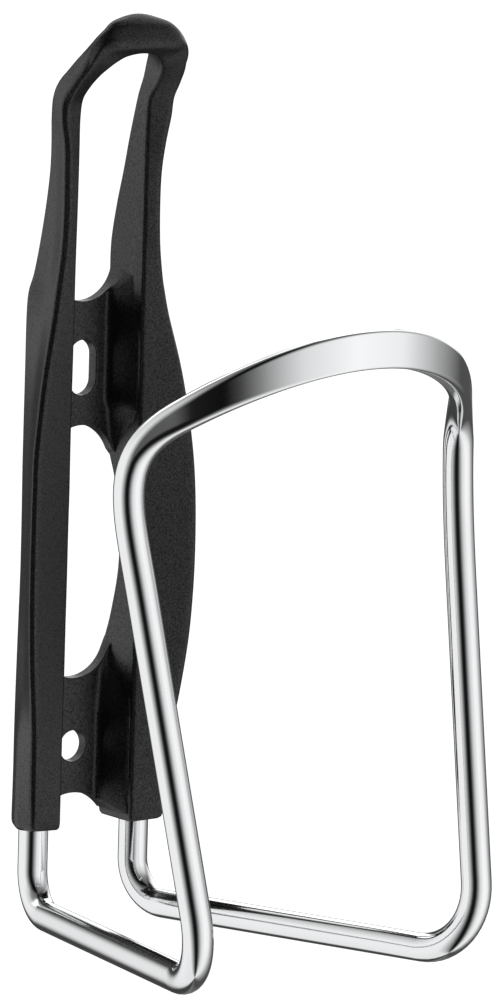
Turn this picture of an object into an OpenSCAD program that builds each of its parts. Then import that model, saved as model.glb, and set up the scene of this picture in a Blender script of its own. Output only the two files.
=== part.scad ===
// Bicycle water bottle cage in two pieces: a moulded nylon back plate that bolts to the frame tube
// and one polished aluminium rod bent into a hoop, flattened into a band across the front.
// Frame: X across, +Y toward the frame tube, +Z up the tube. The origin is on the back mounting
// face at the centre of the round bolt hole, so the bottle stands on the -Y side.

/* [Mounting] */
// Distance between the round hole and the middle of the slot, the common bottle boss spacing
boss_spacing = 64; // [62:0.5:66]
// Diameter of the round bolt hole and width of the slot, clearance on an M5 bolt
hole_d = 5.3; // [5.1:0.1:5.8]
// Length of the slot between its two round ends, end to end
slot_l = 9.3; // [7:0.1:11]

/* [Back plate] */
// Thickness of the web that the bolts clamp
web_t = 2.3; // [2:0.1:3]
// Half width of the oval window
window_r = 7; // [6:0.1:7]
// Radius of the lower end of the opening above the upper bridge
top_r = 6.7; // [6:0.1:7]
// Height of the underside of the upper bridge above the round hole
bridge_low = 54.3; // [52:0.1:56]
// Height of the lowest point of the opening above the upper bridge, above the round hole
bridge_top = 75.1; // [74:0.1:77]
// Height of the lowest point of the oval window above the round hole
window_low = 11.6; // [9:0.1:13]
// Radius of the arch in the bottom edge between the rails
arch_r = 8.5; // [7:0.1:10]
// Height of the crown of that arch above the round hole, negative is below the hole
arch_top = -8; // [-9:0.1:-6]
// Depth of the blind socket that takes each end of the rod
socket_depth = 18; // [12:0.5:20]
// Clearance of the socket on the diameter, closed by the press fit
socket_clear = 0.06; // [0.02:0.01:0.1]

/* [Rod] */
// Diameter of the rod
rod_d = 5; // [4.5:0.1:5]
// Distance of each rod leg from the middle plane
leg_x = 10.25; // [10.2:0.05:10.3]
// Distance of each rod leg in front of the web
leg_f = 3.6; // [3.5:0.05:3.7]
// Height of the corner under the rails above the round hole, negative is below the hole
back_corner_z = -26.3; // [-30:0.1:-24]
// Half distance between the front bottom corners
front_corner_x = 27.2; // [26:0.1:28]
// Distance of the front bottom corners in front of the web
front_corner_f = 76.8; // [76:0.1:78]
// Height of the front bottom corners above the round hole, negative is below the hole
front_corner_z = -24.2; // [-27:0.1:-22]
// Bend radius of the rod's middle line at the back corners
back_bend_r = 7; // [6:0.5:9]
// Bend radius of the rod's middle line at the front bottom corners
front_bend_r = 10; // [8:0.5:12]
// Half distance between the uprights where they start to curve over into the band
upright_top_x = 31.7; // [31:0.1:32.5]
// Distance of these points in front of the web
upright_top_f = 62.8; // [62:0.1:63.5]
// Height of these points above the round hole
upright_top_z = 36; // [34:0.5:37]

/* [Band] */
// Height of the flattened band in the middle
band_h = 6.1; // [5.5:0.1:7]
// Thickness of the flattened band in the middle
band_t = 3; // [2.8:0.1:3.6]
// Corner radius of the flattened band in the middle
band_corner = 0.5; // [0.4:0.1:1.2]
// Radius of the band's middle surface seen from above
band_r = 36.7; // [36.5:0.1:37]

/* [Hidden] */
// radius of the rod
rod_r = rod_d / 2;
// distance of the middle of the band's arc in front of the web
band_f = 42.8;
// angle where the band's arc meets the shoulder curve, from the middle plane, seen from above
band_end = 51;
// angle at which the flattening would have ended along that arc
flat_end = 66;
// how much closer to the middle the ends of the arc are than a circle
band_in = 0.45;
// how far the shoulder curve holds the upright's and the band's direction
shoulder_pull = [15.5, 12.5];
// how much thinner than the rod a bend is, and how far it runs into the straights times 57.3
bend_thin = 0.02;
bend_lap = 20;
// the shoulder starts this much thinner than the rod, this far inside the upright, and has the full
// thickness after a short run
end_step = 0.12;
end_lap = 0.6;
end_run = 4;
// height of the band's middle line above the round hole: constant, cosine and cosine squared terms
band_z0 = 49.47;
band_z1 = 21.3;
band_z2 = 5.4;
// bottom face of the rails above the round hole
rail_bottom = -12.5;
// lowest point of the web beside the arch
web_bottom = rail_bottom + 1.3;
// small overlap that keeps a cut clear of a face
cut = 1;
// circle smoothness
$fn = 48;

// ---- shared helpers -------------------------------------------------------------------------

// a point given as half width, distance in front of the web and height above the round hole
function pt(x, f, h) = [x, -(f + web_t), h];

// unit vector along v
function unit(v) = v / norm(v);

// smooth curve through b and c with neighbours a and d, at fraction t from b to c
function smooth(a, b, c, d, t) =
    0.5 * (2 * b + (c - a) * t + (2 * a - 5 * b + 4 * c - d) * t * t
    + (3 * b - a - 3 * c + d) * t * t * t);

// ---- back plate -----------------------------------------------------------------------------

// Right rail and right half of the loop, one ring of six points per station:
// inner front edge, front ridge, outer edge, outer side, outer back edge, inner back edge.
// Every point is half width, distance in front of the web, height above the round hole.
stations = [
    [[7.5, 6.6, -12.5], [12.3, 7.4, -12.2], [13.1, 6.6, -12.2], [13.2, 2.7, -12.2],
        [10.7, -1.8, -12.4], [7.5, -1.8, -12.5]],
    [[7.2, 7, -11.2], [12.8, 8, -11], [13.5, 7.3, -11], [13.5, 2.7, -11],
        [10.6, -2.3, -11.2], [7.2, -2.3, -11.2]],
    [[7.2, 7, -4], [13.04, 8.43, -4], [14.01, 7.71, -4], [13.5, 2.7, -4],
        [10.5, -2.3, -4], [7.2, -2.3, -4]],
    [[7.2, 7, 3], [13.39, 8.86, 3], [14.35, 8.14, 3], [13.5, 2.9, 3],
        [10.5, -2.3, 3], [7.2, -2.3, 3]],
    [[7.15, 7, 9], [14.17, 9.56, 9], [15.13, 8.84, 9], [13.2, 3.6, 9],
        [10.5, -2.3, 9], [7.1, -2.3, 9]],
    [[7.1, 7, 16], [15.01, 10.13, 16], [15.97, 9.41, 16], [12.9, 3.8, 16],
        [10.4, -2.3, 16], [7.1, -2.3, 16]],
    [[7.1, 7, 22], [15.49, 10.47, 22], [16.45, 9.75, 22], [13.1, 4, 22],
        [10.3, -2.2, 22], [7.1, -0.3, 22]],
    [[7.05, 7, 30], [15.79, 10.67, 30], [16.75, 9.95, 30], [13.2, 4, 30],
        [10.2, -2.1, 30], [7.05, 1.7, 30]],
    [[7.05, 7, 38], [15.79, 10.67, 38], [16.75, 9.95, 38], [13.2, 4, 38],
        [10.2, -2.1, 38], [7.05, 1.7, 38]],
    [[7, 7, 45], [15.59, 10.47, 45], [16.55, 9.75, 45], [13.1, 4, 45],
        [10.2, -2.2, 45], [7, 0, 45]],
    [[7, 6.95, 51], [15.19, 10.07, 51], [16.15, 9.35, 51], [12.9, 3.8, 51],
        [10.2, -2.3, 51], [7, -2.3, 51]],
    [[7, 6.95, 58], [14.21, 9.64, 58], [15.17, 8.91, 58], [12.5, 3.6, 58],
        [10.2, -2.3, 58], [7, -2.3, 58]],
    [[6.95, 6.95, 65], [12.91, 9.04, 65], [13.87, 8.32, 65], [11.8, 3.4, 65],
        [10.2, -2.3, 65], [7, -2.3, 65]],
    [[6.9, 6.95, 73], [10.94, 8.2, 73], [11.9, 7.48, 73], [10.8, 3, 73],
        [10.2, -2.3, 73], [6.8, -2.3, 73]],
    [[6.9, 6.95, 77], [10.15, 7.89, 77], [11.11, 7.17, 77], [10.2, 2.7, 77],
        [9.9, -2.3, 77], [6.6, -2.3, 77]],
    [[6.9, 6.95, 80], [9.64, 7.75, 80], [10.6, 7.03, 80], [9.5, 2.7, 80],
        [8.9, -2.3, 80], [6.55, -2.3, 80]],
    [[6.85, 6.95, 85], [9.03, 7.76, 85], [9.99, 7.04, 85], [8.7, 2.8, 85],
        [7.9, -2.2, 85], [6.6, -2.2, 85]],
    [[6.8, 7, 91], [8.8, 7.78, 91], [9.76, 7.06, 91], [8.7, 3.2, 91],
        [7.9, -0.8, 91], [6.65, -1, 91]],
    [[6.75, 7, 97], [8.88, 7.84, 97], [9.84, 7.12, 97], [8.9, 3.7, 97],
        [8.2, 0.6, 97], [6.75, 0.6, 97]],
    [[6.75, 7, 102], [9.32, 8.22, 102], [10.28, 7.5, 102], [9.5, 4.2, 102],
        [8.9, 1.8, 102], [6.8, 1.8, 102]],
    [[6.8, 7.1, 106.3], [10.12, 8.42, 106.3], [11.08, 7.7, 106.3], [10.3, 4.6, 106.3],
        [9.7, 2.9, 106.3], [6.9, 2.9, 106.3]],
    [[6.75, 7.6, 109.4], [10.21, 8.92, 109], [11.18, 8.2, 109.6], [10.6, 5.2, 109.9],
        [10.1, 3.9, 109.9], [7, 3.9, 109.9]],
    [[6.75, 9.4, 111.5], [9.91, 10.92, 111.9], [10.88, 10.2, 112.2], [10.4, 6.9, 112.9],
        [10, 5.4, 112.5], [6.95, 5.2, 112.7]],
    [[6.2, 11.3, 113.5], [9.31, 13.12, 114.6], [10.28, 12.4, 115.1], [9.7, 9.3, 115.9],
        [8.9, 7.3, 114.9], [6.4, 6.7, 115.2]],
    [[5.3, 12.8, 115], [9.2, 14.5, 116.6], [9.4, 13.3, 118.5], [8.6, 11.7, 118.8],
        [7.6, 9.9, 117.6], [5.3, 8.7, 117.2]],
    [[4.2, 13.7, 116.1], [8.1, 15.5, 118.3], [8, 14.4, 120.5], [7.4, 13.2, 121],
        [6.5, 11.6, 120], [3.9, 10, 118.7]],
    [[2.6, 14.3, 117], [5.6, 16.5, 118.8], [5.4, 15.3, 121.7], [5.3, 14, 122.7],
        [4.8, 12.5, 122.6], [2.2, 10.6, 119.6]],
    [[0, 14.6, 117.4], [0, 17, 118.9], [0, 15.7, 121.9], [0, 14.2, 123.3],
        [0, 12.6, 123.9], [0, 10.8, 120]]
];
// rings added between two stations of the table
fine = 3;
last = len(stations) - 1;

// mirror image of a ring on the other side of the middle plane
function other_side(ring) = [for (p = ring) [-p[0], p[1], p[2]]];

// station i of the table, carried on past the top of the loop by symmetry
function station(i) = i < 0 ? stations[0] : i <= last ? stations[i] : other_side(stations[2 * last - i]);

// ring at fraction t between stations i and i + 1; the bottom chamfer stays straight
function ring_at(i, t) =
    [for (k = [0:5]) i == 0
        ? stations[0][k] * (1 - t) + stations[1][k] * t
        : smooth(station(max(i - 1, 1))[k], station(i)[k], station(i + 1)[k],
            station(i + 2)[k], t)];

// rings of the right half from the bottom of the rail to the top of the loop
half_rings = concat([for (i = [0:last - 1]) for (j = [0:fine - 1]) ring_at(i, j / fine)],
    [stations[last]]);
count = len(half_rings);
all_rings = concat(half_rings, [for (i = [count - 2:-1:0]) other_side(half_rings[i])]);
total = len(all_rings);

// both rails and the loop above them as one closed bar bent into an inverted U
module rails_and_loop() {
    points = [for (ring = all_rings) for (p = ring) pt(p[0], p[1], p[2])];
    sides = [for (i = [0:total - 2]) for (k = [0:5]) let (a = 6 * i + k, b = 6 * i + (k + 1) % 6)
        each [[a, a + 6, b], [b, a + 6, b + 6]]];
    first_cap = [for (k = [1:4]) [0, k, k + 1]];
    far = 6 * (total - 1);
    last_cap = [for (k = [1:4]) [far, far + k + 1, far + k]];
    polyhedron(points = points, faces = concat(sides, first_cap, last_cap));
}

// half height and middle of the oval window
window_top_h = 8;
window_top_r = 7.2;
oval_high = bridge_low - window_top_h;
oval_low = window_low + window_r;

// outline of the oval window: round below, a longer half ellipse above
module oval_outline() {
    translate([0, oval_low]) circle(r = window_r);
    translate([-window_r, oval_low]) square([2 * window_r, oval_high - oval_low]);
    polygon([for (a = [0:7.5:180])
        [window_top_r * cos(a), oval_high - 0.01 + (window_top_h + 0.01) * sin(a)]]);
}

// flat web between the rails, carrying the two bolt holes
module web() {
    half = 7.6;
    high = bridge_top + top_r;
    rotate([90, 0, 0]) linear_extrude(web_t) difference() {
        translate([-half, web_bottom]) square([2 * half, high - 1 - web_bottom]);
        translate([0, arch_top - arch_r]) circle(r = arch_r);
        translate([0, high]) circle(r = top_r);
        oval_outline();
    }
}

// screw holes: one round, one slotted up and down
module bolt_holes() {
    translate([0, cut, 0]) rotate([90, 0, 0]) cylinder(d = hole_d, h = web_t + 2 * cut);
    for (s = [-1, 1]) translate([0, cut, boss_spacing + s * (slot_l - hole_d) / 2])
        rotate([90, 0, 0]) cylinder(d = hole_d, h = web_t + 2 * cut);
    translate([-hole_d / 2, -web_t - cut, boss_spacing - (slot_l - hole_d) / 2])
        cube([hole_d, web_t + 2 * cut, slot_l - hole_d]);
}

// blind round sockets in the bottom of the rails
module sockets() {
    for (s = [-1, 1]) translate(pt(s * leg_x, leg_f, rail_bottom - cut))
        cylinder(d = rod_d + socket_clear, h = socket_depth + cut);
}

module back_plate() {
    color("#2e2e2e") difference() {
        union() {
            rails_and_loop();
            web();
        }
        bolt_holes();
        sockets();
    }
}

// ---- rod ------------------------------------------------------------------------------------

// middle line of the band at angle a from the middle plane, seen from above
function band_height(a) = band_z0 + band_z1 * cos(a) + band_z2 * cos(a) * cos(a);
function band_reach(a) = band_r - band_in * pow(a / band_end, 2);
function band_point(a) = pt(band_reach(a) * sin(a), band_f + band_reach(a) * cos(a), band_height(a));

// direction of the band at angle a, toward the middle plane on the right side
function band_dir(a) = unit(band_point(a - 0.5) - band_point(a + 0.5));

// corners of the rod's middle line on the right side, from the blind end to the shoulder
leg_top = pt(leg_x, leg_f, rail_bottom + socket_depth - 0.5);
back_corner = pt(leg_x, leg_f, back_corner_z);
front_corner = pt(front_corner_x, front_corner_f, front_corner_z);
upright_top = pt(upright_top_x, upright_top_f, upright_top_z);
band_start = band_point(band_end);

// shoulder curve: a cubic from the top of the upright to the start of the band
rise = unit(upright_top - front_corner);
pull_a = upright_top + rise * shoulder_pull[0];
pull_b = band_start - band_dir(band_end) * shoulder_pull[1];
function shoulder_point(t) = pow(1 - t, 3) * upright_top + 3 * t * pow(1 - t, 2) * pull_a
    + 3 * t * t * (1 - t) * pull_b + pow(t, 3) * band_start;
function shoulder_dir(t) = unit(pow(1 - t, 2) * (pull_a - upright_top)
    + 2 * t * (1 - t) * (pull_b - pull_a) + t * t * (band_start - pull_b));

// straight round bar between two points
module bar(a, b) {
    v = b - a;
    translate(a) rotate([0, acos(v[2] / norm(v)), atan2(v[1], v[0])]) cylinder(r = rod_r, h = norm(v));
}

// length of straight taken up by a bend of radius r at corner b between a and c
function tangent(a, b, c, r) = r * tan((180 - acos(unit(a - b) * unit(c - b))) / 2);

// round bend of radius r at corner b, tangent to the lines toward a and c; it is a hair thinner
// than the straights and runs a little way into them, so that every joint closes cleanly
module bend(a, b, c, r) {
    u = unit(a - b);
    w = unit(c - b);
    turn = 180 - acos(u * w);
    middle = unit(u + w);
    centre = b + middle * (r / cos(turn / 2));
    start = unit(b + u * tangent(a, b, c, r) - centre);
    stop = unit(b + w * tangent(a, b, c, r) - centre);
    up = unit(cross(start, stop));
    side = cross(up, start);
    multmatrix([[start[0], side[0], up[0], centre[0]], [start[1], side[1], up[1], centre[1]],
        [start[2], side[2], up[2], centre[2]], [0, 0, 0, 1]])
        rotate([0, 0, -bend_lap / r]) rotate_extrude(angle = turn + 2 * bend_lap / r)
            translate([r, 0]) circle(r = rod_r - bend_thin);
}

// right half of the rod up to the shoulder
module rod_side() {
    t1 = tangent(leg_top, back_corner, front_corner, back_bend_r);
    t2 = tangent(back_corner, front_corner, upright_top, front_bend_r);
    along = unit(front_corner - back_corner);
    bar(back_corner + [0, 0, t1], leg_top);
    bend(leg_top, back_corner, front_corner, back_bend_r);
    bar(back_corner + along * t1, front_corner - along * t2);
    bend(back_corner, front_corner, upright_top, front_bend_r);
    bar(front_corner + rise * t2, upright_top);
}

// outline of the section, thickness first and height second: round at x = 1, flattened with small
// corners at x = 0, and thinner than the rod by thin
function section(x, thin) =
    let (start = rod_r - thin, w = start + (band_t / 2 - start) * (1 - pow(x, 4)),
        q = pow(1 - x * x, 1.6), h = start + (band_h / 2 - start) * q,
        r = start - end_step + (band_corner - start + end_step) * (1 - x * x))
    [for (c = [0:3]) for (k = [0:5]) let (a = 90 * c + 18 * k)
        [(c == 0 || c == 3 ? 1 : -1) * (w - min(r, w - end_step)) + min(r, w - end_step) * cos(a),
            (c < 2 ? 1 : -1) * (h - r) + r * sin(a)]];

// ring of the surface round the point p, square to the direction d, the thickness lying along o
function ring(p, d, o, outline) =
    let (out = unit(o - (o * d) * d), up = cross(d, out)) [for (s = outline) p + out * s[0] + up * s[1]];

// outward direction of the band at angle a, seen from above
function outward(a) = [-band_dir(a)[1], band_dir(a)[0], 0];

// front of the hoop: both shoulders and the band between them, pressed flatter toward the middle
module shoulders_and_band() {
    steps = 16;
    degree_l = norm(band_point(band_end - 0.5) - band_point(band_end + 0.5));
    first = [ring(upright_top - rise * end_lap, rise, outward(band_end), section(1, end_step))];
    shoulder = [for (i = [0:steps - 1]) let (t = i / steps, p = shoulder_point(t),
        x = min(1, (band_end + norm(band_start - p) / degree_l) / flat_end),
        thin = end_step * max(0, 1 - norm(p - upright_top) / end_run))
        ring(p, shoulder_dir(t), outward(band_end), section(x, thin))];
    arc = [for (i = [0:steps]) let (a = band_end * (1 - i / steps))
        ring(band_point(a), band_dir(a), outward(a), section(a / flat_end, 0))];
    half = concat(first, shoulder, arc);
    count = len(half);
    rings = concat(half, [for (i = [count - 2:-1:0]) other_side(half[i])]);
    n = len(half[0]);
    far = n * (len(rings) - 1);
    sides = [for (i = [0:len(rings) - 2]) for (k = [0:n - 1]) let (a = n * i + k, b = n * i + (k + 1) % n)
        each [[a, a + n, b], [b, a + n, b + n]]];
    first_cap = [for (k = [1:n - 2]) [0, k, k + 1]];
    last_cap = [for (k = [1:n - 2]) [far, far + k + 1, far + k]];
    polyhedron(points = [for (r = rings) each r], faces = concat(sides, first_cap, last_cap));
}

module rod_hoop() {
    color("#d8dadc") {
        rod_side();
        mirror([1, 0, 0]) rod_side();
        shoulders_and_band();
    }
}

back_plate();
rod_hoop();
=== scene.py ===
"""Looks of a bicycle water bottle cage: a moulded nylon back plate that bolts to the frame tube and one
polished aluminium rod bent into a hoop and pressed flat across the front.

Frame: X across, +Y toward the frame tube, +Z up the tube, metres. The origin is on the back mounting
face at the centre of the round bolt hole, so the bottle stands on the -Y side."""

import math

import bpy
import numpy as np
from mathutils import Matrix, Vector


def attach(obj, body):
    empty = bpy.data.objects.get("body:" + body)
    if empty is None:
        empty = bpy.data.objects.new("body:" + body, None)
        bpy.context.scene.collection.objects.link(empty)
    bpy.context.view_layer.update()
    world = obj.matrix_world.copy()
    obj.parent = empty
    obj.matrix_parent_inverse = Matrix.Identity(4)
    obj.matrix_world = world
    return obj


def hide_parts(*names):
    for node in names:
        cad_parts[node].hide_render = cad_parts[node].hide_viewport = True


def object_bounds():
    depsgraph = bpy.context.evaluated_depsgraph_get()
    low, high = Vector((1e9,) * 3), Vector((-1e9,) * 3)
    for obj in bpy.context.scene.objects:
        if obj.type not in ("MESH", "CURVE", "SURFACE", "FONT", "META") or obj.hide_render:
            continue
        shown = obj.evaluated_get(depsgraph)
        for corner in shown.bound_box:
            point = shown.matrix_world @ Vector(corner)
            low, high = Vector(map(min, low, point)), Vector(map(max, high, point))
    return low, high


bl_info = {
    "name": "Water bottle cage",
    "version": (1, 0, 0),
    "blender": (4, 5, 0),
    "location": "3D View > Sidebar > Bottle cage",
    "description": "Builds a two-piece bicycle water bottle cage and a plain studio around it",
    "category": "Add Mesh",
}

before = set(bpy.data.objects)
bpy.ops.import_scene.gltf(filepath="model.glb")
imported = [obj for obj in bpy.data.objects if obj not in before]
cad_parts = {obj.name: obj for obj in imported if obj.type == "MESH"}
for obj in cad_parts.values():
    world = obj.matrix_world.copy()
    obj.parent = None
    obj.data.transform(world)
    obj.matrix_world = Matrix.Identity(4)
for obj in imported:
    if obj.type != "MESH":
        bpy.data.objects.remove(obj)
cad_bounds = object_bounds()

MM = 0.001


# ---- sizes and colours a user would change ---------------------------------------------------


def length(name, description, millimetres):
    """A length property, given in millimetres and kept in metres."""
    return bpy.props.FloatProperty(
        name=name, description=description, default=millimetres * MM, unit="LENGTH", precision=5
    )


def shade(name, description, value):
    """A colour property from an sRGB hex value."""
    return bpy.props.FloatVectorProperty(
        name=name, description=description, default=linear(value), subtype="COLOR", size=3, min=0, max=1
    )


def linear(value):
    """Linear colour of an sRGB hex value such as "#a0b0c0"."""
    srgb = np.array([int(value[i : i + 2], 16) for i in (1, 3, 5)]) / 255
    return tuple(np.where(srgb <= 0.04045, srgb / 12.92, ((srgb + 0.055) / 1.055) ** 2.4))


class PlateSizes(bpy.types.PropertyGroup):
    """Sizes and colour of the back plate."""

    boss_spacing: length("Boss spacing", "Round hole to the middle of the slot", 64)
    hole_d: length("Hole diameter", "Round hole and width of the slot", 5.3)
    slot_l: length("Slot length", "Slot end to end", 9.3)
    window_r: length("Window radius", "Half width of the openings between the rails", 7)
    edge_r: length("Edge radius", "Rounding of the edges round the openings", 0.2)
    nylon: shade("Nylon", "Colour of the moulded nylon", "#0c0c0d")


class HoopSizes(bpy.types.PropertyGroup):
    """Sizes and colour of the rod hoop."""

    rod_d: length("Rod diameter", "Diameter of the round rod", 5)
    leg_x: length("Leg distance", "Each rod leg from the middle plane", 10.25)
    front_x: length("Front corner distance", "Each front bottom corner from the middle plane", 27.2)
    band_h: length("Band height", "Height of the flattened band in the middle", 6.1)
    band_t: length("Band thickness", "Thickness of the flattened band in the middle", 3)
    band_r: length("Band radius", "Radius of the band seen from above", 36.7)
    aluminium: shade("Aluminium", "Colour of the polished aluminium", "#f1f2f3")


class StudioSizes(bpy.types.PropertyGroup):
    """Camera and light."""

    distance: length("Camera distance", "Camera to the middle of the view", 1071.868)
    azimuth: bpy.props.FloatProperty(
        name="Azimuth", description="Camera turned to the left of the front", default=0.6418, unit="ROTATION"
    )
    elevation: bpy.props.FloatProperty(
        name="Elevation", description="Camera height above the level", default=0.14218, unit="ROTATION"
    )
    floor_size: length("Floor size", "Width of the floor", 30000)
    daylight: bpy.props.FloatProperty(
        name="Tent light", description="Brightness of the light tent", default=1.0, min=0
    )


# ---- shared helpers --------------------------------------------------------------------------


def unit(v):
    """Vectors of length one along the last axis."""
    return v / np.linalg.norm(v, axis=-1, keepdims=True)


WEB_T = 2.3  # mm, the web between the rails, where the bolts clamp


def at(x, f, h):
    """Point at x across, f in front of the web's front face and h above the round hole, in millimetres."""
    return np.stack(np.broadcast_arrays(x, -(np.asarray(f, float) + WEB_T), h), -1).astype(float)


def mirrored(rows):
    """Rows of points and their mirror image on the other side of the middle plane; the last row is on it."""
    return np.concatenate([rows, rows[-2::-1] * [-1, 1, 1]])


def grid_quads(rows, columns, closed_rows=False):
    """Quads of a grid whose columns close into a loop, and whose rows do too if asked."""
    i, j = np.meshgrid(np.arange(rows if closed_rows else rows - 1), np.arange(columns), indexing="ij")
    down, right = (i + 1) % rows, (j + 1) % columns
    corners = [i * columns + j, down * columns + j, down * columns + right, i * columns + right]
    return np.stack(corners, -1).reshape(-1, 4)


def signed_volume(points, faces):
    """Volume inside closed faces, negative when they point inwards: sum of a . (b x c) / 6 over triangles."""
    a, b, c = points[faces[:, 0]], points[faces[:, 1]], points[faces[:, 2]]
    volume = np.einsum("ij,ij->i", a, np.cross(b, c)).sum()
    if faces.shape[1] == 4:
        d = points[faces[:, 3]]
        volume += np.einsum("ij,ij->i", a, np.cross(c, d)).sum()
    return volume / 6


class Shell:
    """Points and faces of one closed surface made of a grid of rows, each row a closed loop."""

    def __init__(self, rows, closed_rows=False):
        n, m = rows.shape[:2]
        self.points = rows.reshape(-1, 3)
        self.quads = grid_quads(n, m, closed_rows)
        self.tris = np.zeros((0, 3), int)
        if not closed_rows:  # a fan closes each end on the middle of its loop
            ends = np.stack([rows[0].mean(0), rows[-1].mean(0)])
            k = np.arange(m)
            first, last = n * m, n * m + 1
            self.tris = np.concatenate(
                [
                    np.stack([np.full(m, first), k, (k + 1) % m], -1),
                    np.stack([np.full(m, last), (n - 1) * m + (k + 1) % m, (n - 1) * m + k], -1),
                ]
            )
            self.points = np.concatenate([self.points, ends])
        if signed_volume(self.points, self.quads) + signed_volume(self.points, self.tris) < 0:
            self.quads, self.tris = self.quads[:, ::-1], self.tris[:, ::-1]


def make_piece(name, shells, material, uv=None):
    """One object from closed shells given in millimetres, smooth shaded, at the origin."""
    points, faces, start = [], [], 0
    for shell in shells:
        points.append(shell.points)
        faces += (shell.quads + start).tolist() + (shell.tris + start).tolist()
        start += len(shell.points)
    points = np.concatenate(points) * MM
    mesh = bpy.data.meshes.new(name)
    mesh.from_pydata(points, [], faces)
    mesh.polygons.foreach_set("use_smooth", np.ones(len(mesh.polygons), bool))
    if uv is not None:
        corner = np.zeros(len(mesh.loops), np.int32)
        mesh.loops.foreach_get("vertex_index", corner)
        layer = mesh.uv_layers.new(name="along_rod")
        layer.uv.foreach_set("vector", uv[corner].astype(np.float32).ravel())
    mesh.update()
    mesh.materials.append(material)
    obj = bpy.data.objects.new(name, mesh)
    bpy.context.scene.collection.objects.link(obj)
    return obj


def add(tree, kind, inputs=None, **settings):
    """Adds one node: settings go on the node, inputs are constants or the sockets that feed it."""
    node = tree.nodes.new(kind)
    for name, value in settings.items():
        setattr(node, name, value)
    for name, value in (inputs or {}).items():
        if isinstance(value, bpy.types.NodeSocket):
            tree.links.new(value, node.inputs[name])
        else:
            node.inputs[name].default_value = value
    return node


def spread(tree, value, start, end):
    """Carries a value from the range start over to the range end."""
    ranges = {"From Min": start[0], "From Max": start[1], "To Min": end[0], "To Max": end[1]}
    return add(tree, "ShaderNodeMapRange", {"Value": value, **ranges}).outputs["Result"]


def blank_material(name):
    """An empty node material and its tree."""
    material = bpy.data.materials.new(name)
    material.use_nodes = True
    material.node_tree.nodes.clear()
    return material, material.node_tree


# ---- materials -------------------------------------------------------------------------------

NOISE = (0.3, 0.7)  # most of a noise's values lie between these
WIDE_NOISE = (0.25, 0.75)
NYLON_ROUGHNESS = (0.26, 0.38)
NYLON_TONE = (0.9, 1.12)  # share of the base colour, in soft patches
NYLON_SPECK = (0.8, 1.25)  # and grain by grain
NYLON_GLINT = (0.16, 0.68)  # specular level, grain by grain
NYLON_IOR = 1.53
GRAIN_DEPTH = 0.045  # mm
ALUMINIUM_ROUGHNESS = (0.07, 0.13)
SCRATCH_STRENGTH = 0.15
SCRATCH_DEPTH = 0.004  # mm
GRAIN = 0.3  # mm, spark-eroded grain of the mould, drawn a little coarse so that it shows
FLOW = 14.0  # mm, soft patches where the melt filled the mould
SCRATCH_W = 0.16  # mm across the rod, polishing lines, drawn coarser than the real ones so that they show
SCRATCH_L = 14.0  # mm along the rod


def moulded_nylon(colour):
    """Black glass-filled nylon, injection moulded in a spark-eroded tool. The eye gets an even near-black
    with a fine satin grain, soft broad highlights on the rounded edges and slightly uneven sheen."""
    material, tree = blank_material("moulded_black_nylon")
    place = add(tree, "ShaderNodeTexCoord").outputs["Object"]
    fine = {"Vector": place, "Scale": 1 / (GRAIN * MM), "Detail": 2.0, "Roughness": 0.6}
    grain = add(tree, "ShaderNodeTexNoise", fine).outputs["Fac"]
    soft = {"Vector": place, "Scale": 1 / (FLOW * MM), "Detail": 2.0}
    flow = add(tree, "ShaderNodeTexNoise", soft).outputs["Fac"]
    sheen = spread(tree, grain, NOISE, NYLON_ROUGHNESS)
    tone = spread(tree, flow, NOISE, NYLON_TONE)
    speck = spread(tree, grain, WIDE_NOISE, NYLON_SPECK)
    both = add(tree, "ShaderNodeMath", {0: tone, 1: speck}, operation="MULTIPLY").outputs["Value"]
    base = add(tree, "ShaderNodeVectorMath", {0: tuple(colour), "Scale": both}, operation="SCALE")
    glint = spread(tree, grain, NOISE, NYLON_GLINT)
    bump = add(tree, "ShaderNodeBump", {"Strength": 1.0, "Distance": GRAIN_DEPTH * MM, "Height": grain})
    shader = add(
        tree,
        "ShaderNodeBsdfPrincipled",
        {
            "Base Color": base.outputs["Vector"],
            "Roughness": sheen,
            "IOR": NYLON_IOR,
            "Specular IOR Level": glint,
            "Normal": bump.outputs["Normal"],
        },
    )
    add(tree, "ShaderNodeOutputMaterial", {"Surface": shader.outputs["BSDF"]})
    return material


def polished_aluminium(colour):
    """Drawn aluminium rod, bent and then buffed along its length. The eye gets mirror-like white and black
    bands that follow the rod, a little soft from fine lengthwise buffing lines."""
    material, tree = blank_material("polished_aluminium")
    place = add(tree, "ShaderNodeUVMap", uv_map="along_rod").outputs["UV"]
    stretched = add(tree, "ShaderNodeMapping", {"Vector": place, "Scale": (1 / SCRATCH_L, 1 / SCRATCH_W, 1)})
    noise = {"Vector": stretched.outputs["Vector"], "Scale": 1.0, "Detail": 3.0}
    lines = add(tree, "ShaderNodeTexNoise", noise, noise_dimensions="2D").outputs["Fac"]
    rough = spread(tree, lines, NOISE, ALUMINIUM_ROUGHNESS)
    marks = {"Strength": SCRATCH_STRENGTH, "Distance": SCRATCH_DEPTH * MM, "Height": lines}
    bump = add(tree, "ShaderNodeBump", marks)
    shader = add(
        tree,
        "ShaderNodeBsdfPrincipled",
        {
            "Base Color": (*colour, 1),
            "Metallic": 1.0,
            "Roughness": rough,
            "Normal": bump.outputs["Normal"],
        },
    )
    add(tree, "ShaderNodeOutputMaterial", {"Surface": shader.outputs["BSDF"]})
    return material


# ---- rod hoop --------------------------------------------------------------------------------

# Millimetres: F is in front of the web's front face, H is above the round hole.
LEG_F = 3.6
LEG_TOP = 5.0  # height of the rod's blind end
BACK_CORNER_H = -26.3
FRONT_CORNER_F = 76.8
FRONT_CORNER_H = -24.2
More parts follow.
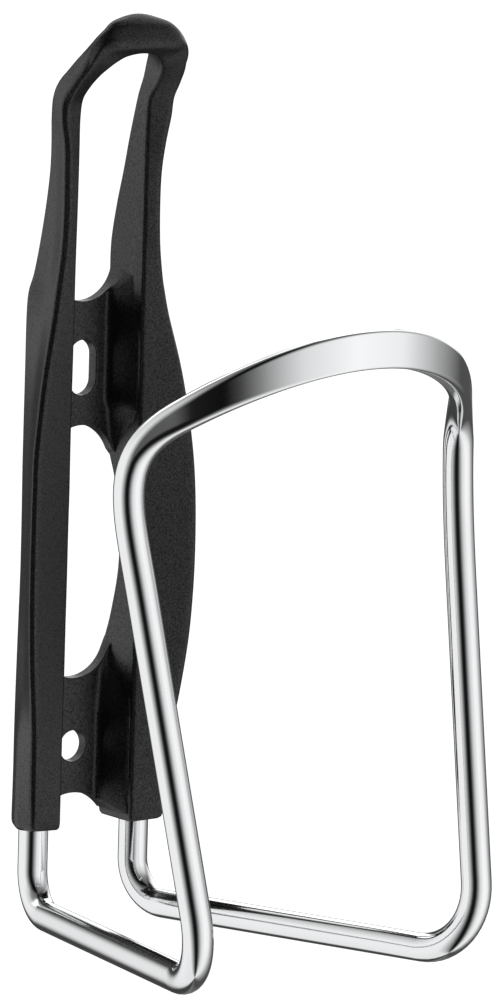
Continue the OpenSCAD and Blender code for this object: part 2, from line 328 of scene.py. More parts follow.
# Where the straight upright starts to curve: half width, in front of the web, height
UPRIGHT_TOP = (31.7, 62.8, 36.0)
SHOULDER_PULL = (15.5, 12.5)  # how far the shoulder curve holds the upright's and the band's direction
BACK_BEND_R = 7.0
FRONT_BEND_R = 10.0
BAND_F = 42.8  # middle of the band's circle
BAND_END = math.radians(51)
BAND_IN = 0.45  # how much closer to the middle the band's ends are than a circle
FLAT_END = math.radians(66)  # where the pressed section is round again
BAND_Z = (49.47, 21.3, 5.4)  # height: constant, times cosine, times cosine squared
BAND_CORNER = 0.5
PRESSED_POWER = 1.6  # how late the band gains its height toward the middle
ON_FLATS = 0.5  # share of the outline's points on its straights where the band is flattest
ON_TALL = 0.65  # part of those on the tall side
STRAIGHT_STEPS = 8
BEND_STEPS = 16
SHOULDER_STEPS = 24
BAND_STEPS = 60
AROUND = 96


def band_line(a, r):
    """Middle line of the band at angle a from the middle plane: a circle of radius r seen from above that
    draws in by a share of a squared, with the height a constant plus a cosine and a cosine squared term.
    Returns points and directions toward the middle plane."""
    height = BAND_Z[0] + BAND_Z[1] * np.cos(a) + BAND_Z[2] * np.cos(a) ** 2
    slope = BAND_Z[1] * np.sin(a) + BAND_Z[2] * np.sin(2 * a)
    reach = r - BAND_IN * (a / BAND_END) ** 2
    draw = -2 * BAND_IN * a / BAND_END**2
    points = at(reach * np.sin(a), BAND_F + reach * np.cos(a), height)
    across = reach * np.cos(a) + draw * np.sin(a)
    forward = reach * np.sin(a) - draw * np.cos(a)
    return points, unit(np.stack([-across, -forward, slope], -1))


def straight(a, b, steps):
    """Points from a to b, both included, and the direction at each."""
    t = np.linspace(0, 1, steps + 1)[:, None]
    return a + (b - a) * t, np.repeat(unit(b - a)[None], steps + 1, 0)


def bend(a, corner, c, r):
    """Arc of radius r that rounds a corner between the lines toward a and c, and the direction at each
    point: centre + r (start cos t - u sin t), where u points from the corner toward a."""
    u, w = unit(a - corner), unit(c - corner)
    half = math.acos(float(np.dot(u, w))) / 2
    reach, turn = r / math.tan(half), math.pi - 2 * half
    centre = corner + unit(u + w) * r / math.sin(half)
    start = unit(corner + u * reach - centre)
    t = np.linspace(0, turn, BEND_STEPS + 1)[:, None]
    return (
        centre + r * (start * np.cos(t) - u * np.sin(t)),
        -(start * np.sin(t) + u * np.cos(t)),
    )


def easy_curve(a, a_dir, b, b_dir, steps):
    """Cubic curve from a to b that leaves along a_dir and arrives along b_dir, and its directions:
    (1-t)^3 a + 3t(1-t)^2 c + 3t^2(1-t) d + t^3 b, where c and d lie SHOULDER_PULL along the directions."""
    c, d = a + a_dir * SHOULDER_PULL[0], b - b_dir * SHOULDER_PULL[1]
    t = np.linspace(0, 1, steps + 1)[:, None]
    s = 1 - t
    points = s**3 * a + 3 * t * s**2 * c + 3 * t**2 * s * d + t**3 * b
    return points, unit(s**2 * (c - a) + 2 * t * s * (d - c) + t**2 * (b - d))


def hoop_line(sizes):
    """Middle line of the right half of the rod, from its blind end in the back plate to the middle of the
    band: straights and round bends, an easy curve at the shoulder, then the band. Returns points,
    directions, outward directions and how round the section is, from 0 flat to 1 round."""
    r = sizes.band_r / MM
    corners = [
        at(sizes.leg_x / MM, LEG_F, LEG_TOP),
        at(sizes.leg_x / MM, LEG_F, BACK_CORNER_H),
        at(sizes.front_x / MM, FRONT_CORNER_F, FRONT_CORNER_H),
        at(*UPRIGHT_TOP),
    ]
    parts = []
    last = corners[0]
    for i, bend_r in enumerate((BACK_BEND_R, FRONT_BEND_R)):
        arc = bend(*corners[i : i + 3], bend_r)
        run = straight(last, arc[0][0], STRAIGHT_STEPS)
        parts += [(run[0][:-1], run[1][:-1]), (arc[0][:-1], arc[1][:-1])]
        last = arc[0][-1]
    run = straight(last, corners[3], STRAIGHT_STEPS)
    start, start_dir = band_line(np.array([BAND_END]), r)
    shoulder = easy_curve(corners[3], run[1][-1], start[0], start_dir[0], SHOULDER_STEPS)
    parts += [(run[0][:-1], run[1][:-1]), shoulder]
    a = np.linspace(BAND_END, 0, BAND_STEPS + 1)[1:]
    parts.append(band_line(a, r))
    points, along = (np.concatenate([part[k] for part in parts]) for k in (0, 1))
    out = np.stack([-along[:, 1], along[:, 0], 0 * along[:, 0]], -1)
    out[: -len(a)] = [-start_dir[0][1], start_dir[0][0], 0]
    out = unit(out - np.sum(out * along, -1, keepdims=True) * along)
    gone = np.concatenate([np.cumsum(np.linalg.norm(np.diff(points, axis=0), axis=1)[::-1])[::-1], [0]])
    return points, along, out, np.minimum(gone / gone[-len(a) - 1] * BAND_END / FLAT_END, 1)


def rod_section(x, sizes):
    """Outline of the rod's section, going round once: at x = 0 a rectangle with rounded corners, pressed
    flat, and at x = 1 the round rod. One quarter is straight, arc, straight; the others mirror it."""
    r0 = sizes.rod_d / MM / 2
    x = x[:, None]
    w = r0 + (sizes.band_t / MM / 2 - r0) * (1 - x**4)
    h = r0 + (sizes.band_h / MM / 2 - r0) * (1 - x**2) ** PRESSED_POWER
    r = r0 + (BAND_CORNER - r0) * (1 - x**2)
    r = np.minimum(r, np.minimum(w, h))
    t = np.linspace(0, 1, AROUND // 4 + 1)[None]
    on_flats = ON_FLATS * np.sqrt(1 - x**2)
    t1 = np.maximum(on_flats * ON_TALL, 1e-6)
    t2 = 1 - np.maximum(on_flats * (1 - ON_TALL), 1e-6)
    rise = np.sin(np.clip(t / t1, 0, 1) * math.pi / 2)
    turn = np.clip((t - t1) / (t2 - t1), 0, 1) * math.pi / 2
    back = np.sin(np.clip((1 - t) / (1 - t2), 0, 1) * math.pi / 2)
    px = np.where(t > t2, (w - r) * back, w - r + r * np.cos(turn))
    py = np.where(t < t1, (h - r) * rise, h - r + r * np.sin(turn))
    k = np.arange(AROUND)
    quarter = AROUND // 4
    fold = np.abs((k + quarter) % (2 * quarter) - quarter)
    left, low = (k > quarter) & (k < 3 * quarter), k > 2 * quarter
    return px[:, fold] * np.where(left, -1, 1), py[:, fold] * np.where(low, -1, 1)


def rod_hoop_piece(sizes):
    """The rod: its section carried along the middle line, mirrored to the left side."""
    points, along, out, roundness = hoop_line(sizes)
    up = np.cross(along, out)
    x, y = rod_section(roundness, sizes)
    rows = mirrored(points[:, None] + out[:, None] * x[..., None] + up[:, None] * y[..., None])
    shell = Shell(rows)
    line = mirrored(points)
    s = np.concatenate([[0], np.cumsum(np.linalg.norm(np.diff(line, axis=0), axis=1))])
    around = np.abs(np.arange(AROUND) - AROUND // 2) / (AROUND // 2) * math.pi * sizes.rod_d / MM / 2
    uv = np.stack(np.broadcast_arrays(s[:, None], around[None]), -1).reshape(-1, 2)
    uv = np.concatenate([uv, [[0, 0], [s[-1], 0]]])
    return make_piece("rod_hoop_polished", [shell], polished_aluminium(sizes.aluminium), uv)


# ---- back plate ------------------------------------------------------------------------------

# Right rail and right half of the loop, two lines a station: inner front edge, front ridge, outer edge,
# then outer side, outer back edge, inner back edge. Each is half width, distance in front of the web and
# height above the round hole.
STATIONS = [
    [[7.5, 6.6, -12.5], [12.3, 7.4, -12.2], [13.1, 6.6, -12.2],
     [13.2, 2.7, -12.2], [10.7, -1.8, -12.4], [7.5, -1.8, -12.5]],
    [[7.2, 7, -11.2], [12.8, 8, -11], [13.5, 7.3, -11],
     [13.5, 2.7, -11], [10.6, -2.3, -11.2], [7.2, -2.3, -11.2]],
    [[7.2, 7, -4], [13.04, 8.43, -4], [14.01, 7.71, -4],
     [13.5, 2.7, -4], [10.5, -2.3, -4], [7.2, -2.3, -4]],
    [[7.2, 7, 3], [13.39, 8.86, 3], [14.35, 8.14, 3],
     [13.5, 2.9, 3], [10.5, -2.3, 3], [7.2, -2.3, 3]],
    [[7.15, 7, 9], [14.17, 9.56, 9], [15.13, 8.84, 9],
     [13.2, 3.6, 9], [10.5, -2.3, 9], [7.1, -2.3, 9]],
    [[7.1, 7, 16], [15.01, 10.13, 16], [15.97, 9.41, 16],
     [12.9, 3.8, 16], [10.4, -2.3, 16], [7.1, -2.3, 16]],
    [[7.1, 7, 22], [15.49, 10.47, 22], [16.45, 9.75, 22],
     [13.1, 4, 22], [10.3, -2.2, 22], [7.1, -0.3, 22]],
    [[7.05, 7, 30], [15.79, 10.67, 30], [16.75, 9.95, 30],
     [13.2, 4, 30], [10.2, -2.1, 30], [7.05, 1.7, 30]],
    [[7.05, 7, 38], [15.79, 10.67, 38], [16.75, 9.95, 38],
     [13.2, 4, 38], [10.2, -2.1, 38], [7.05, 1.7, 38]],
    [[7, 7, 45], [15.59, 10.47, 45], [16.55, 9.75, 45],
     [13.1, 4, 45], [10.2, -2.2, 45], [7, 0, 45]],
    [[7, 6.95, 51], [15.19, 10.07, 51], [16.15, 9.35, 51],
     [12.9, 3.8, 51], [10.2, -2.3, 51], [7, -2.3, 51]],
    [[7, 6.95, 58], [14.21, 9.64, 58], [15.17, 8.91, 58],
     [12.5, 3.6, 58], [10.2, -2.3, 58], [7, -2.3, 58]],
    [[6.95, 6.95, 65], [12.91, 9.04, 65], [13.87, 8.32, 65],
     [11.8, 3.4, 65], [10.2, -2.3, 65], [7, -2.3, 65]],
    [[6.9, 6.95, 73], [10.94, 8.2, 73], [11.9, 7.48, 73],
     [10.8, 3, 73], [10.2, -2.3, 73], [6.8, -2.3, 73]],
    [[6.9, 6.95, 77], [10.15, 7.89, 77], [11.11, 7.17, 77],
     [10.2, 2.7, 77], [9.9, -2.3, 77], [6.6, -2.3, 77]],
    [[6.9, 6.95, 80], [9.64, 7.75, 80], [10.6, 7.03, 80],
     [9.5, 2.7, 80], [8.9, -2.3, 80], [6.55, -2.3, 80]],
    [[6.85, 6.95, 85], [9.03, 7.76, 85], [9.99, 7.04, 85],
     [8.7, 2.8, 85], [7.9, -2.2, 85], [6.6, -2.2, 85]],
    [[6.8, 7, 91], [8.8, 7.78, 91], [9.76, 7.06, 91],
     [8.7, 3.2, 91], [7.9, -0.8, 91], [6.65, -1, 91]],
    [[6.75, 7, 97], [8.88, 7.84, 97], [9.84, 7.12, 97],
     [8.9, 3.7, 97], [8.2, 0.6, 97], [6.75, 0.6, 97]],
    [[6.75, 7, 102], [9.32, 8.22, 102], [10.28, 7.5, 102],
     [9.5, 4.2, 102], [8.9, 1.8, 102], [6.8, 1.8, 102]],
    [[6.8, 7.1, 106.3], [10.12, 8.42, 106.3], [11.08, 7.7, 106.3],
     [10.3, 4.6, 106.3], [9.7, 2.9, 106.3], [6.9, 2.9, 106.3]],
    [[6.75, 7.6, 109.4], [10.21, 8.92, 109], [11.18, 8.2, 109.6],
     [10.6, 5.2, 109.9], [10.1, 3.9, 109.9], [7, 3.9, 109.9]],
    [[6.75, 9.4, 111.5], [9.91, 10.92, 111.9], [10.88, 10.2, 112.2],
     [10.4, 6.9, 112.9], [10, 5.4, 112.5], [6.95, 5.2, 112.7]],
    [[6.2, 11.3, 113.5], [9.31, 13.12, 114.6], [10.28, 12.4, 115.1],
     [9.7, 9.3, 115.9], [8.9, 7.3, 114.9], [6.4, 6.7, 115.2]],
    [[5.3, 12.8, 115], [9.2, 14.5, 116.6], [9.4, 13.3, 118.5],
     [8.6, 11.7, 118.8], [7.6, 9.9, 117.6], [5.3, 8.7, 117.2]],
    [[4.2, 13.7, 116.1], [8.1, 15.5, 118.3], [8, 14.4, 120.5],
     [7.4, 13.2, 121], [6.5, 11.6, 120], [3.9, 10, 118.7]],
    [[2.6, 14.3, 117], [5.6, 16.5, 118.8], [5.4, 15.3, 121.7],
     [5.3, 14, 122.7], [4.8, 12.5, 122.6], [2.2, 10.6, 119.6]],
    [[0, 14.6, 117.4], [0, 17, 118.9], [0, 15.7, 121.9],
     [0, 14.2, 123.3], [0, 12.6, 123.9], [0, 10.8, 120]],
]
FINE = 6  # rows between two stations
ROUND_STEPS = 6  # steps round an edge
SUPPORT = 0.22  # mm, a line of points this far beyond each rounding keeps the flat faces flat
ROUNDINGS = (0.6, 1.1, 0.8, 1.6, 0.8, 0.3)  # mm, each edge of the rail in the order of the stations
LOOP_ROUNDINGS = (1.2, 2.4, 1.4, 1.6, 1.2, 0.8)  # mm, the same edges at the top of the loop
LOOP_FROM = 21  # station from which the loop's roundings grow
SIDE_SHARE = 0.24  # most of a side that a rounding takes, on the rail
LOOP_SIDE_SHARE = 0.42  # and at the top of the loop
CORNER_PUSH = 0.2  # share of the rounding by which a corner is first moved out
SUPPORT_SHARE = 0.06  # most of a side that the support line takes
CHAMFER_STEPS = 4
RAIL_BOTTOM = -12.5
SOCKET_X = 10.25  # half width of the sockets' middle
SOCKET_R = 2.53
SOCKET_TOP = 5.5
SOCKET_TIP = 0.02  # radius at which the blind end closes
SOCKET_FLARE = (0.35, 0.3)  # height and width of the chamfer at its mouth
MOUTH_SHARE = 0.12  # first row on the flat end, as a share of the way from the edge to the mouth
ARCH_R = 8.5
ARCH_TOP = -8.0
WEB_BOTTOM = RAIL_BOTTOM + 1.3
WINDOW_LOW = 11.6
BRIDGE_LOW = 54.3
BRIDGE_TOP = 75.1
TOP_R = 6.7  # radius of the lower end of the opening above the upper bridge
OVAL_TOP_H = 8.0  # height of the half ellipse that closes the oval window
OVAL_TOP_R = 7.2  # and its half width
EDGE_SLOPE = 1.2  # and a bridge's lower edge no steeper than this
WEB_HALF = 7.35
EDGE_TURN = 6.45  # beyond this half width the edges of the openings run on straight into the rails
COVE_R = 1.0
WALL_FOOT = 4.86  # half width of the wall at its foot
WALL_HEAD = 6.85  # half width of the wall at its top
WALL_TOP = 6.3
WALL_GONE = 7.2  # half width where the wall is inside the rail
WALL_BURIED = 0.1  # how much farther out its top is there
WALL_FADE = 6.0  # mm over which it gets there
LOWER_WALL = (-30, 15)  # heights between which each bridge's wall stands
UPPER_WALL = (53, 82.5)
LOWER_BOX = 5.5  # half height of the box round the lower hole that the columns cross
UPPER_BOX = 7
COLUMNS = 96
BOX_STEPS = 12  # up a side of the box
OUT_STEPS = 27  # from a hole to its box


def smooth_rows(rows, fine):
    """Catmull-Rom curves through the rows, with fine steps between two of them."""
    a, b, c, d = rows[:-3], rows[1:-2], rows[2:-1], rows[3:]
    t = (np.arange(fine) / fine)[None, :, None, None]
    a, b, c, d = (v[:, None] for v in (a, b, c, d))
    curve = 0.5 * (2 * b + (c - a) * t + (2 * a - 5 * b + 4 * c - d) * t**2 + (3 * b - a - 3 * c + d) * t**3)
    return curve.reshape(-1, *rows.shape[1:])


def corner_sides(rings, roundings, most):
    """At each corner, toward the corner before it and then the one after it: the direction, the length of
    the side and how much of it the rounding takes, which is at most the share most."""
    sides = []
    for turn in (1, -1):
        way = np.roll(rings, turn, 1) - rings
        size = np.linalg.norm(way, axis=-1, keepdims=True)
        sides.append((way / size, size, np.minimum(roundings[..., None], most[..., None] * size)))
    return sides


def rounded_rings(rings, roundings, most):
    """Each polygon with its corners rounded: from a point before the corner to one after it along the curve
    (1-t)^2 before + 2t(1-t) corner + t^2 after, with one more point on the flat beyond each end. The corner
    is first moved out by part of the rounding, so that the outline about keeps its size."""
    (before, lb, rb), (after, la, ra) = corner_sides(rings, roundings, most)
    rings = rings - (before * rb + after * ra) * CORNER_PUSH
    (before, lb, rb), (after, la, ra) = corner_sides(rings, roundings, most)
    p, q = rings + before * rb, rings + after * ra
    t = np.linspace(0, 1, ROUND_STEPS + 1)[None, None, :, None]
    arc = (1 - t) ** 2 * p[:, :, None] + 2 * t * (1 - t) * rings[:, :, None] + t**2 * q[:, :, None]
    first = p + before * np.minimum(SUPPORT, SUPPORT_SHARE * lb)
    last = q + after * np.minimum(SUPPORT, SUPPORT_SHARE * la)
    loop = np.concatenate([first[:, :, None], arc, last[:, :, None]], 2)
    return loop.reshape(len(rings), -1, 3)


def rails_and_loop():
    """Both rails and the loop over them as one bar bent into an inverted U: a six-sided section with
    rounded edges carried through the stations, with a blind round socket in each bottom end."""
    table = np.array(STATIONS, float)
    top = table[-2::-1][:2] * [-1, 1, 1]
    table = np.concatenate([table[:1], table[1:2], table[1:], top])
    rings = smooth_rows(table[1:], FINE)[: (len(STATIONS) - 2) * FINE + 1]
    chamfer = np.linspace(0, 1, CHAMFER_STEPS + 1)[:-1, None, None]
    turned = np.sqrt(1 - (1 - chamfer) ** 2)
    ends = table[0] * (1 - turned) + table[1] * turned
    ends[..., 2] = table[0][:, 2] * (1 - chamfer[..., 0]) + table[1][:, 2] * chamfer[..., 0]
    rings = np.concatenate([ends, rings])
    height = (np.arange(len(rings)) - len(ends)) / FINE + 1
    share = np.clip((height - LOOP_FROM) / (len(STATIONS) - 1 - LOOP_FROM), 0, 1)[:, None]
    roundings = ROUNDINGS + share * (np.array(LOOP_ROUNDINGS) - ROUNDINGS)
    rows = rounded_rings(rings, roundings, SIDE_SHARE + (LOOP_SIDE_SHARE - SIDE_SHARE) * share)
    centre = np.array([SOCKET_X, LEG_F, 0.0])
    away = rows[0] - centre
    away[:, 2] = 0
    away = unit(away)
    rise, widen = SOCKET_FLARE
    depths = [
        (SOCKET_TOP, SOCKET_TIP),
        (SOCKET_TOP, SOCKET_R),
        (RAIL_BOTTOM + rise, SOCKET_R),
        (RAIL_BOTTOM, SOCKET_R + widen),
    ]
    socket = np.stack([centre + away * r + [0, 0, h] for h, r in depths])
    flat_end = rows[0] + (socket[-1] - rows[0]) * MOUTH_SHARE
    rows = np.concatenate([socket, flat_end[None], rows])
    rows = at(rows[..., 0], rows[..., 1], rows[..., 2])
    return Shell(mirrored(rows))


def fade(h, start, end):
    """Smooth step 3t^2 - 2t^3 from 0 at start to 1 at end."""
    t = np.clip((h - start) / (end - start), 0, 1)
    return t * t * (3 - 2 * t)


def channel(x, h, ends):
    """Front of a bridge in front of the web: flat in the middle, a small cove, then a wall that leans out
    to the rail: F = 0, a circle of radius COVE_R, F = (|x| - foot) tan(lean). Toward its ends the wall
    stands up and moves into the rail."""
    gone = np.maximum(fade(h, ends[0] + WALL_FADE, ends[0]), fade(h, ends[1] - WALL_FADE, ends[1]))
    foot = WALL_FOOT + (WALL_GONE - WALL_FOOT) * gone
    head = WALL_HEAD + (WALL_GONE + WALL_BURIED - WALL_HEAD) * gone
    lean = np.arctan2(WALL_TOP, head - foot)
    reach = COVE_R * np.tan(lean / 2)
    past = np.abs(x) - (foot - reach)
    cove = COVE_R - np.sqrt(np.maximum(COVE_R**2 - np.clip(past, 0, COVE_R * np.sin(lean)) ** 2, 0))
    wall = (np.abs(x) - foot) * np.tan(lean)
    return np.minimum(np.where(past > COVE_R * np.sin(lean), wall, cove), WALL_TOP)


def bridge(low, high, hole, sides, ends, edge_r):
    """Bridge between the rails with a bolt hole. Round the hole, each column runs from the hole out to
    a box and then straight up or down to the edge low(x) or high(x); front and back are joined round
    both edges with radius edge_r."""
    n = COLUMNS
    x = WEB_HALF * np.sin(np.linspace(-1, 1, n) * math.pi / 2)
    side = np.linspace(sides[0], sides[1], BOX_STEPS + 1)[1:-1]
    box = np.concatenate(
        [
            np.stack([np.full(len(side), WEB_HALF), side], -1),
            np.stack([x[::-1], np.full(n, sides[1])], -1),
            np.stack([np.full(len(side), -WEB_HALF), side[::-1]], -1),
            np.stack([x, np.full(n, sides[0])], -1),
        ]
    )
    edge, inward = box.copy(), np.zeros_like(box)
    m = len(side)
    for rows, line in ((slice(m, m + n), high), (slice(2 * m + n, None), low)):
        edge[rows, 1], inward[rows] = line(box[rows, 0])
    middle = np.array([0, (sides[0] + sides[1]) / 2])
    rim, outward = hole(box - middle)
    rim = rim + middle
    t = np.linspace(0, math.pi / 2, ROUND_STEPS + 1)
    out_in, deep = edge_r * (1 - np.sin(t)), edge_r * (1 - np.cos(t))
    quarter = [(rim + outward * o, d) for o, d in zip(out_in[::-1], deep[::-1])]
    quarter += [(rim + outward * (edge_r + SUPPORT), 0)]
    start = rim + outward * (edge_r + SUPPORT)
    quarter += [(start + (box - start) * f, 0) for f in np.linspace(0, 1, OUT_STEPS + 1)[1:]]
    quarter += [(edge + inward * (edge_r + SUPPORT), 0)]
    quarter += [(edge + inward * o, d) for o, d in zip(out_in, deep)]
    front = np.stack(
        [np.stack([p[:, 0], d - WEB_T - channel(p[:, 0], p[:, 1], ends), p[:, 1]], -1) for p, d in quarter]
    )
    back = np.stack([np.stack([p[:, 0], np.full(len(p), -d), p[:, 1]], -1) for p, d in quarter[::-1]])
    return Shell(np.concatenate([front, back]), closed_rows=True)


def round_hole(r):
    """Rim of a round hole in each direction, and the direction out of it."""
    return lambda d: (unit(d) * r, unit(d))


def slot_hole(r, half):
    """Rim of a slot with round ends, where a ray from the middle meets it: on a straight side, or on the
    circle round an end's centre, half away from the middle. Also the direction out of the slot there."""

    def rim(d):
        d = unit(d)
        rise = r * d[:, 1] / np.maximum(np.abs(d[:, 0]), 1e-9)
        side = np.abs(rise) <= half
        centre = np.stack([np.zeros(len(d)), np.sign(d[:, 1]) * half], -1)
        along = np.sum(d * centre, -1)
        end = d * (along + np.sqrt(np.maximum(along**2 - half**2 + r**2, 0)))[:, None]
        flat = np.stack([np.sign(d[:, 0]) * r, rise], -1)
        out = np.where(side[:, None], np.stack([np.sign(d[:, 0]), 0 * rise], -1), unit(end - centre))
        return np.where(side[:, None], flat, end), out

    return rim


def arc_edge(centre_h, r, up, limit):
    """Edge of an opening between the rails: the circle's height at x, carried on straight along its
    slope beyond EDGE_TURN and level from height limit on, and the direction from the edge into the
    bridge. Up is 1 for a lower edge of a bridge and -1 for an upper one."""
    slope = EDGE_TURN / math.sqrt(r**2 - EDGE_TURN**2)
    if up > 0:
        slope = min(slope, EDGE_SLOPE)

    def line(x):
        on = np.clip(x, -EDGE_TURN, EDGE_TURN)
        reach = np.sqrt(r**2 - on**2)
        height = centre_h + up * (reach - (np.abs(x) - np.abs(on)) * slope)
        return up * np.maximum(up * height, up * limit), unit(np.stack([on, up * reach], -1))

    return line


def oval_edge(start_h, r, rise):
    """Upper edge of the oval window, a half ellipse, carried on at EDGE_SLOPE beyond EDGE_TURN, and the
    direction from the edge into the bridge."""

    def line(x):
        on = np.clip(x, -EDGE_TURN, EDGE_TURN)
        reach = np.sqrt(1 - (on / r) ** 2)
        height = start_h + rise * reach - (np.abs(x) - np.abs(on)) * EDGE_SLOPE
        return height, unit(np.stack([on / r**2, reach / rise], -1))

    return line


def back_plate_piece(sizes):
    """The back plate: rails and loop, and the two bridges between the rails."""
    r, edge_r, window = sizes.hole_d / MM / 2, sizes.edge_r / MM, sizes.window_r / MM
    slot_half = (sizes.slot_l - sizes.hole_d) / MM / 2
    lower = bridge(
        arc_edge(ARCH_TOP - ARCH_R, ARCH_R, 1, WEB_BOTTOM),
        arc_edge(WINDOW_LOW + window, window, -1, WINDOW_LOW + window),
        round_hole(r),
        (-LOWER_BOX, LOWER_BOX),
        LOWER_WALL,
        edge_r,
    )
    spacing = sizes.boss_spacing / MM
    upper = bridge(
        oval_edge(BRIDGE_LOW - OVAL_TOP_H, OVAL_TOP_R, OVAL_TOP_H),
        arc_edge(BRIDGE_TOP + TOP_R, TOP_R, -1, BRIDGE_TOP + TOP_R),
        slot_hole(r, slot_half),
        (spacing - UPPER_BOX, spacing + UPPER_BOX),
        UPPER_WALL,
        edge_r,
    )
    return make_piece("back_plate_moulded", [rails_and_loop(), lower, upper], moulded_nylon(sizes.nylon))


# ---- operators -------------------------------------------------------------------------------


class BOTTLECAGE_OT_back_plate(bpy.types.Operator):
    """Builds the moulded nylon back plate"""

    bl_idname = "bottlecage.back_plate"
    bl_label = "Back plate"

    def execute(self, context):
        piece = back_plate_piece(context.scene.cage_plate)
        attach(piece, "root")
        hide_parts("back_plate")
        return {"FINISHED"}


class BOTTLECAGE_OT_rod_hoop(bpy.types.Operator):
    """Builds the polished aluminium rod hoop"""

    bl_idname = "bottlecage.rod_hoop"
    bl_label = "Rod hoop"

    def execute(self, context):
        piece = rod_hoop_piece(context.scene.cage_hoop)
        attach(piece, "root")
        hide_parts("rod_hoop")
        return {"FINISHED"}


class BOTTLECAGE_OT_studio(bpy.types.Operator):
    """Builds the plain pale floor, the light tent and the camera"""

    bl_idname = "bottlecage.studio"
    bl_label = "Studio"

    def execute(self, context):
        studio = context.scene.cage_studio
        make_floor(studio)
        make_tent(context.scene, studio)
        make_camera(context.scene, studio)
        return {"FINISHED"}


# ---- studio ----------------------------------------------------------------------------------

LOOK_AT = Vector((13.467, -32.3, 44.881)) * MM
ROLL = -0.02985  # radians
LENS = 234.64  # mm, on a sensor SENSOR wide
SENSOR = 36
CLIP = (0.05, 60)  # metres
PAPER = 0.4  # how much light the floor gives back
FLOOR_GLOW = 0.92  # and how much it gives by itself


def toward_camera(studio):
    """Unit vector from the object to the camera."""
    a, e = studio.azimuth, studio.elevation
    return Vector((-math.sin(a) * math.cos(e), -math.cos(a) * math.cos(e), math.sin(e)))


def make_camera(scene, studio):
    """A long lens from the front left, a little above the middle of the cage."""
    back = toward_camera(studio)
    level = Vector((math.cos(studio.azimuth), -math.sin(studio.azimuth), 0))
    up = back.cross(level)
    right = level * math.cos(ROLL) - up * math.sin(ROLL)
    up = level * math.sin(ROLL) + up * math.cos(ROLL)
    data = bpy.data.cameras.new("camera")
    data.lens, data.sensor_width = LENS, SENSOR
    data.clip_start, data.clip_end = CLIP
    camera = bpy.data.objects.new("camera", data)
    axes = Matrix((right, up, back)).transposed().to_4x4()
    camera.matrix_world = Matrix.Translation(LOOK_AT + back * studio.distance) @ axes
    scene.collection.objects.link(camera)
    scene.camera = camera


def make_floor(studio):
    """A plain white floor just under the hoop, bright enough to run into the white background."""
    low = float(cad_bounds[0][2])
    half = studio.floor_size / 2
    corners = [(-half, -half, low), (half, -half, low), (half, half, low), (-half, half, low)]
    mesh = bpy.data.meshes.new("floor")
    mesh.from_pydata(corners, [], [(0, 1, 2, 3)])
    material, tree = blank_material("white_paper_floor")
    paper = add(tree, "ShaderNodeBsdfDiffuse", {"Color": (PAPER, PAPER, PAPER, 1)})
    glow = add(tree, "ShaderNodeEmission", {"Strength": FLOOR_GLOW})
    both = add(tree, "ShaderNodeAddShader", {0: paper.outputs[0], 1: glow.outputs[0]})
    add(tree, "ShaderNodeOutputMaterial", {"Surface": both.outputs[0]})
    mesh.materials.append(material)
    floor = bpy.data.objects.new("floor", mesh)
    bpy.context.scene.collection.objects.link(floor)
    floor.visible_glossy = False  # polished metal reflects the light tent, which goes on below the floor


# Brightness round the light tent, by angle from the camera seen from above: degrees to the right, shade.
# White cloth on both sides, a dark gap where the camera looks in, and a dim part behind the object.
TENT = [
    (-180, 0.2),
    (-172, 0.06),
    (-150, 0.05),
    (-145, 0.1),
    (-134, 0.85),
    (-120, 0.95),
    (-62, 0.95),
    (-48, 0.6),
    (-38, 0.34),
    (-29, 0.12),
    (-21, 0.012),
    (-5, 0.004),
    (2, 0.06),
    (10, 0.22),
    (20, 0.5),
    (32, 0.8),
    (60, 1.05),
    (88, 0.95),
    (100, 0.7),
    (115, 0.42),
    (130, 0.22),
    (142, 0.08),
    (160, 0.08),
    (180, 0.2),
]
# The same by sine of the height, multiplied with it.
SKY = [(-1.0, 0.9), (-0.5, 1.0), (0.2, 1.0), (0.55, 0.7), (0.75, 0.3), (1.0, 0.12)]
# Two lit parts of the backdrop, added to the tent, each a share by angle and a share by sine of the height:
# the paper just behind the object, and a panel high up behind it.
PANELS = [
    (
        [(-180, 1.3), (-175, 1.3), (-169, 0), (115, 0), (145, 1.0), (180, 1.3)],
        [(-0.03, 0), (0.06, 1), (0.8, 1), (0.93, 0)],
    ),
    ([(-170, 0), (-165, 1.7), (-135, 1.4), (-105, 0)], [(0.42, 0), (0.52, 1), (0.8, 1), (0.93, 0)]),
]


RAMP_TOP = 2  # a colour ramp holds brightness up to 1, so it is drawn at a share of this and scaled up


def ramp(tree, factor, stops, span):
    """Grey that changes evenly between stops of (place, brightness), where factor runs from 0 to 1 while
    the place runs over span, with 0 in its middle."""
    node = add(tree, "ShaderNodeValToRGB", {"Fac": factor})
    elements = node.color_ramp.elements
    while len(elements) < len(stops):
        elements.new(0.5)
    for element, (place, value) in zip(elements, stops):
        grey = value / RAMP_TOP
        element.position, element.color = 0.5 + place / span, (grey, grey, grey, 1)
    return vector_math(tree, "SCALE", {0: node.outputs["Color"], "Scale": RAMP_TOP})


def vector_math(tree, operation, inputs):
    """Output of one vector operation."""
    return add(tree, "ShaderNodeVectorMath", inputs, operation=operation).outputs["Vector"]


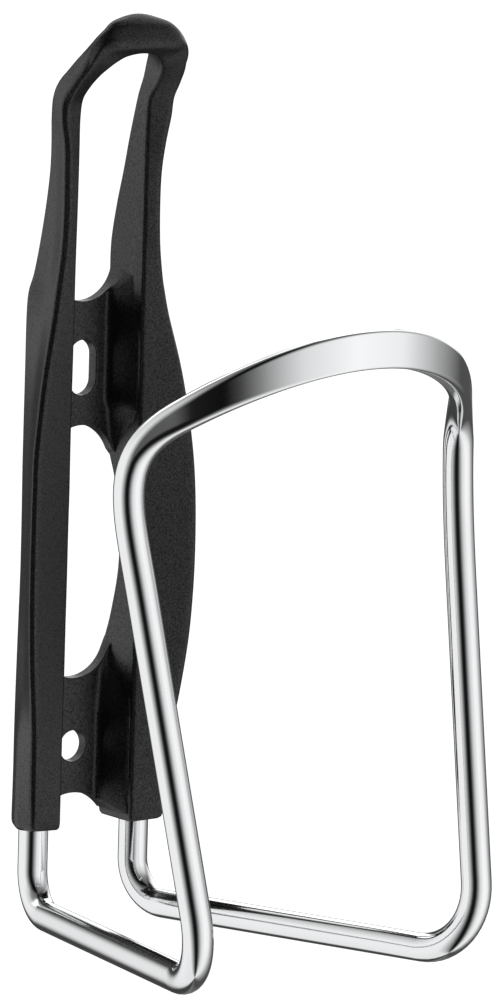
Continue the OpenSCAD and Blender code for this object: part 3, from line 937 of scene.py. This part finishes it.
def make_tent(scene, studio):
    """White light tent, dark round the camera: its cloth by angle and height, and the lit parts of the
    backdrop. The camera itself sees plain white paper."""
    world = bpy.data.worlds.new("light_tent")
    world.use_nodes = True
    tree = world.node_tree
    tree.nodes.clear()
    where = add(tree, "ShaderNodeTexCoord").outputs["Generated"]
    turn = (0, 0, studio.azimuth + math.pi / 2)
    turned = add(tree, "ShaderNodeMapping", {"Vector": where, "Rotation": turn}).outputs["Vector"]
    angle = add(tree, "ShaderNodeTexGradient", {"Vector": turned}, gradient_type="RADIAL").outputs["Fac"]
    sine = add(tree, "ShaderNodeSeparateXYZ", {"Vector": where}).outputs["Z"]
    rise = spread(tree, sine, (-1, 1), (0, 1))
    light = None
    for by_angle, by_height in [(TENT, SKY), *PANELS]:
        shares = {0: ramp(tree, angle, by_angle, 360), 1: ramp(tree, rise, by_height, 2)}
        part = vector_math(tree, "MULTIPLY", shares)
        light = part if light is None else vector_math(tree, "ADD", {0: light, 1: part})
    tent = add(tree, "ShaderNodeBackground", {"Color": light, "Strength": studio.daylight}).outputs[0]
    paper = add(tree, "ShaderNodeBackground", {"Color": (1, 1, 1, 1), "Strength": 1.0}).outputs[0]
    seen = add(tree, "ShaderNodeLightPath").outputs["Is Camera Ray"]
    pick = add(tree, "ShaderNodeMixShader", {"Fac": seen, 1: tent, 2: paper})
    add(tree, "ShaderNodeOutputWorld", {"Surface": pick.outputs[0]})
    scene.world = world
    scene.view_settings.view_transform = "Standard"


class BOTTLECAGE_PT_cage(bpy.types.Panel):
    """Lists the pieces and their sizes"""

    bl_label = "Bottle cage"
    bl_idname = "BOTTLECAGE_PT_cage"
    bl_space_type = "VIEW_3D"
    bl_region_type = "UI"
    bl_category = "Bottle cage"

    def draw(self, context):
        for operator, group in STEPS:
            box = self.layout.box()
            box.operator(f"bottlecage.{operator}")
            sizes = getattr(context.scene, group)
            for name in sizes.__annotations__:
                box.prop(sizes, name)


STEPS = [("back_plate", "cage_plate"), ("rod_hoop", "cage_hoop"), ("studio", "cage_studio")]
GROUPS = {"cage_plate": PlateSizes, "cage_hoop": HoopSizes, "cage_studio": StudioSizes}
CLASSES = [
    *GROUPS.values(),
    BOTTLECAGE_OT_back_plate,
    BOTTLECAGE_OT_rod_hoop,
    BOTTLECAGE_OT_studio,
    BOTTLECAGE_PT_cage,
]


def register():
    for cls in CLASSES:
        bpy.utils.register_class(cls)
    for name, group in GROUPS.items():
        setattr(bpy.types.Scene, name, bpy.props.PointerProperty(type=group))


def unregister():
    for name in GROUPS:
        delattr(bpy.types.Scene, name)
    for cls in reversed(CLASSES):
        bpy.utils.unregister_class(cls)


def main():
    """Builds everything in order."""
    register()
    for operator, _ in STEPS:
        getattr(bpy.ops.bottlecage, operator)()


if __name__ == "__main__":
    main()
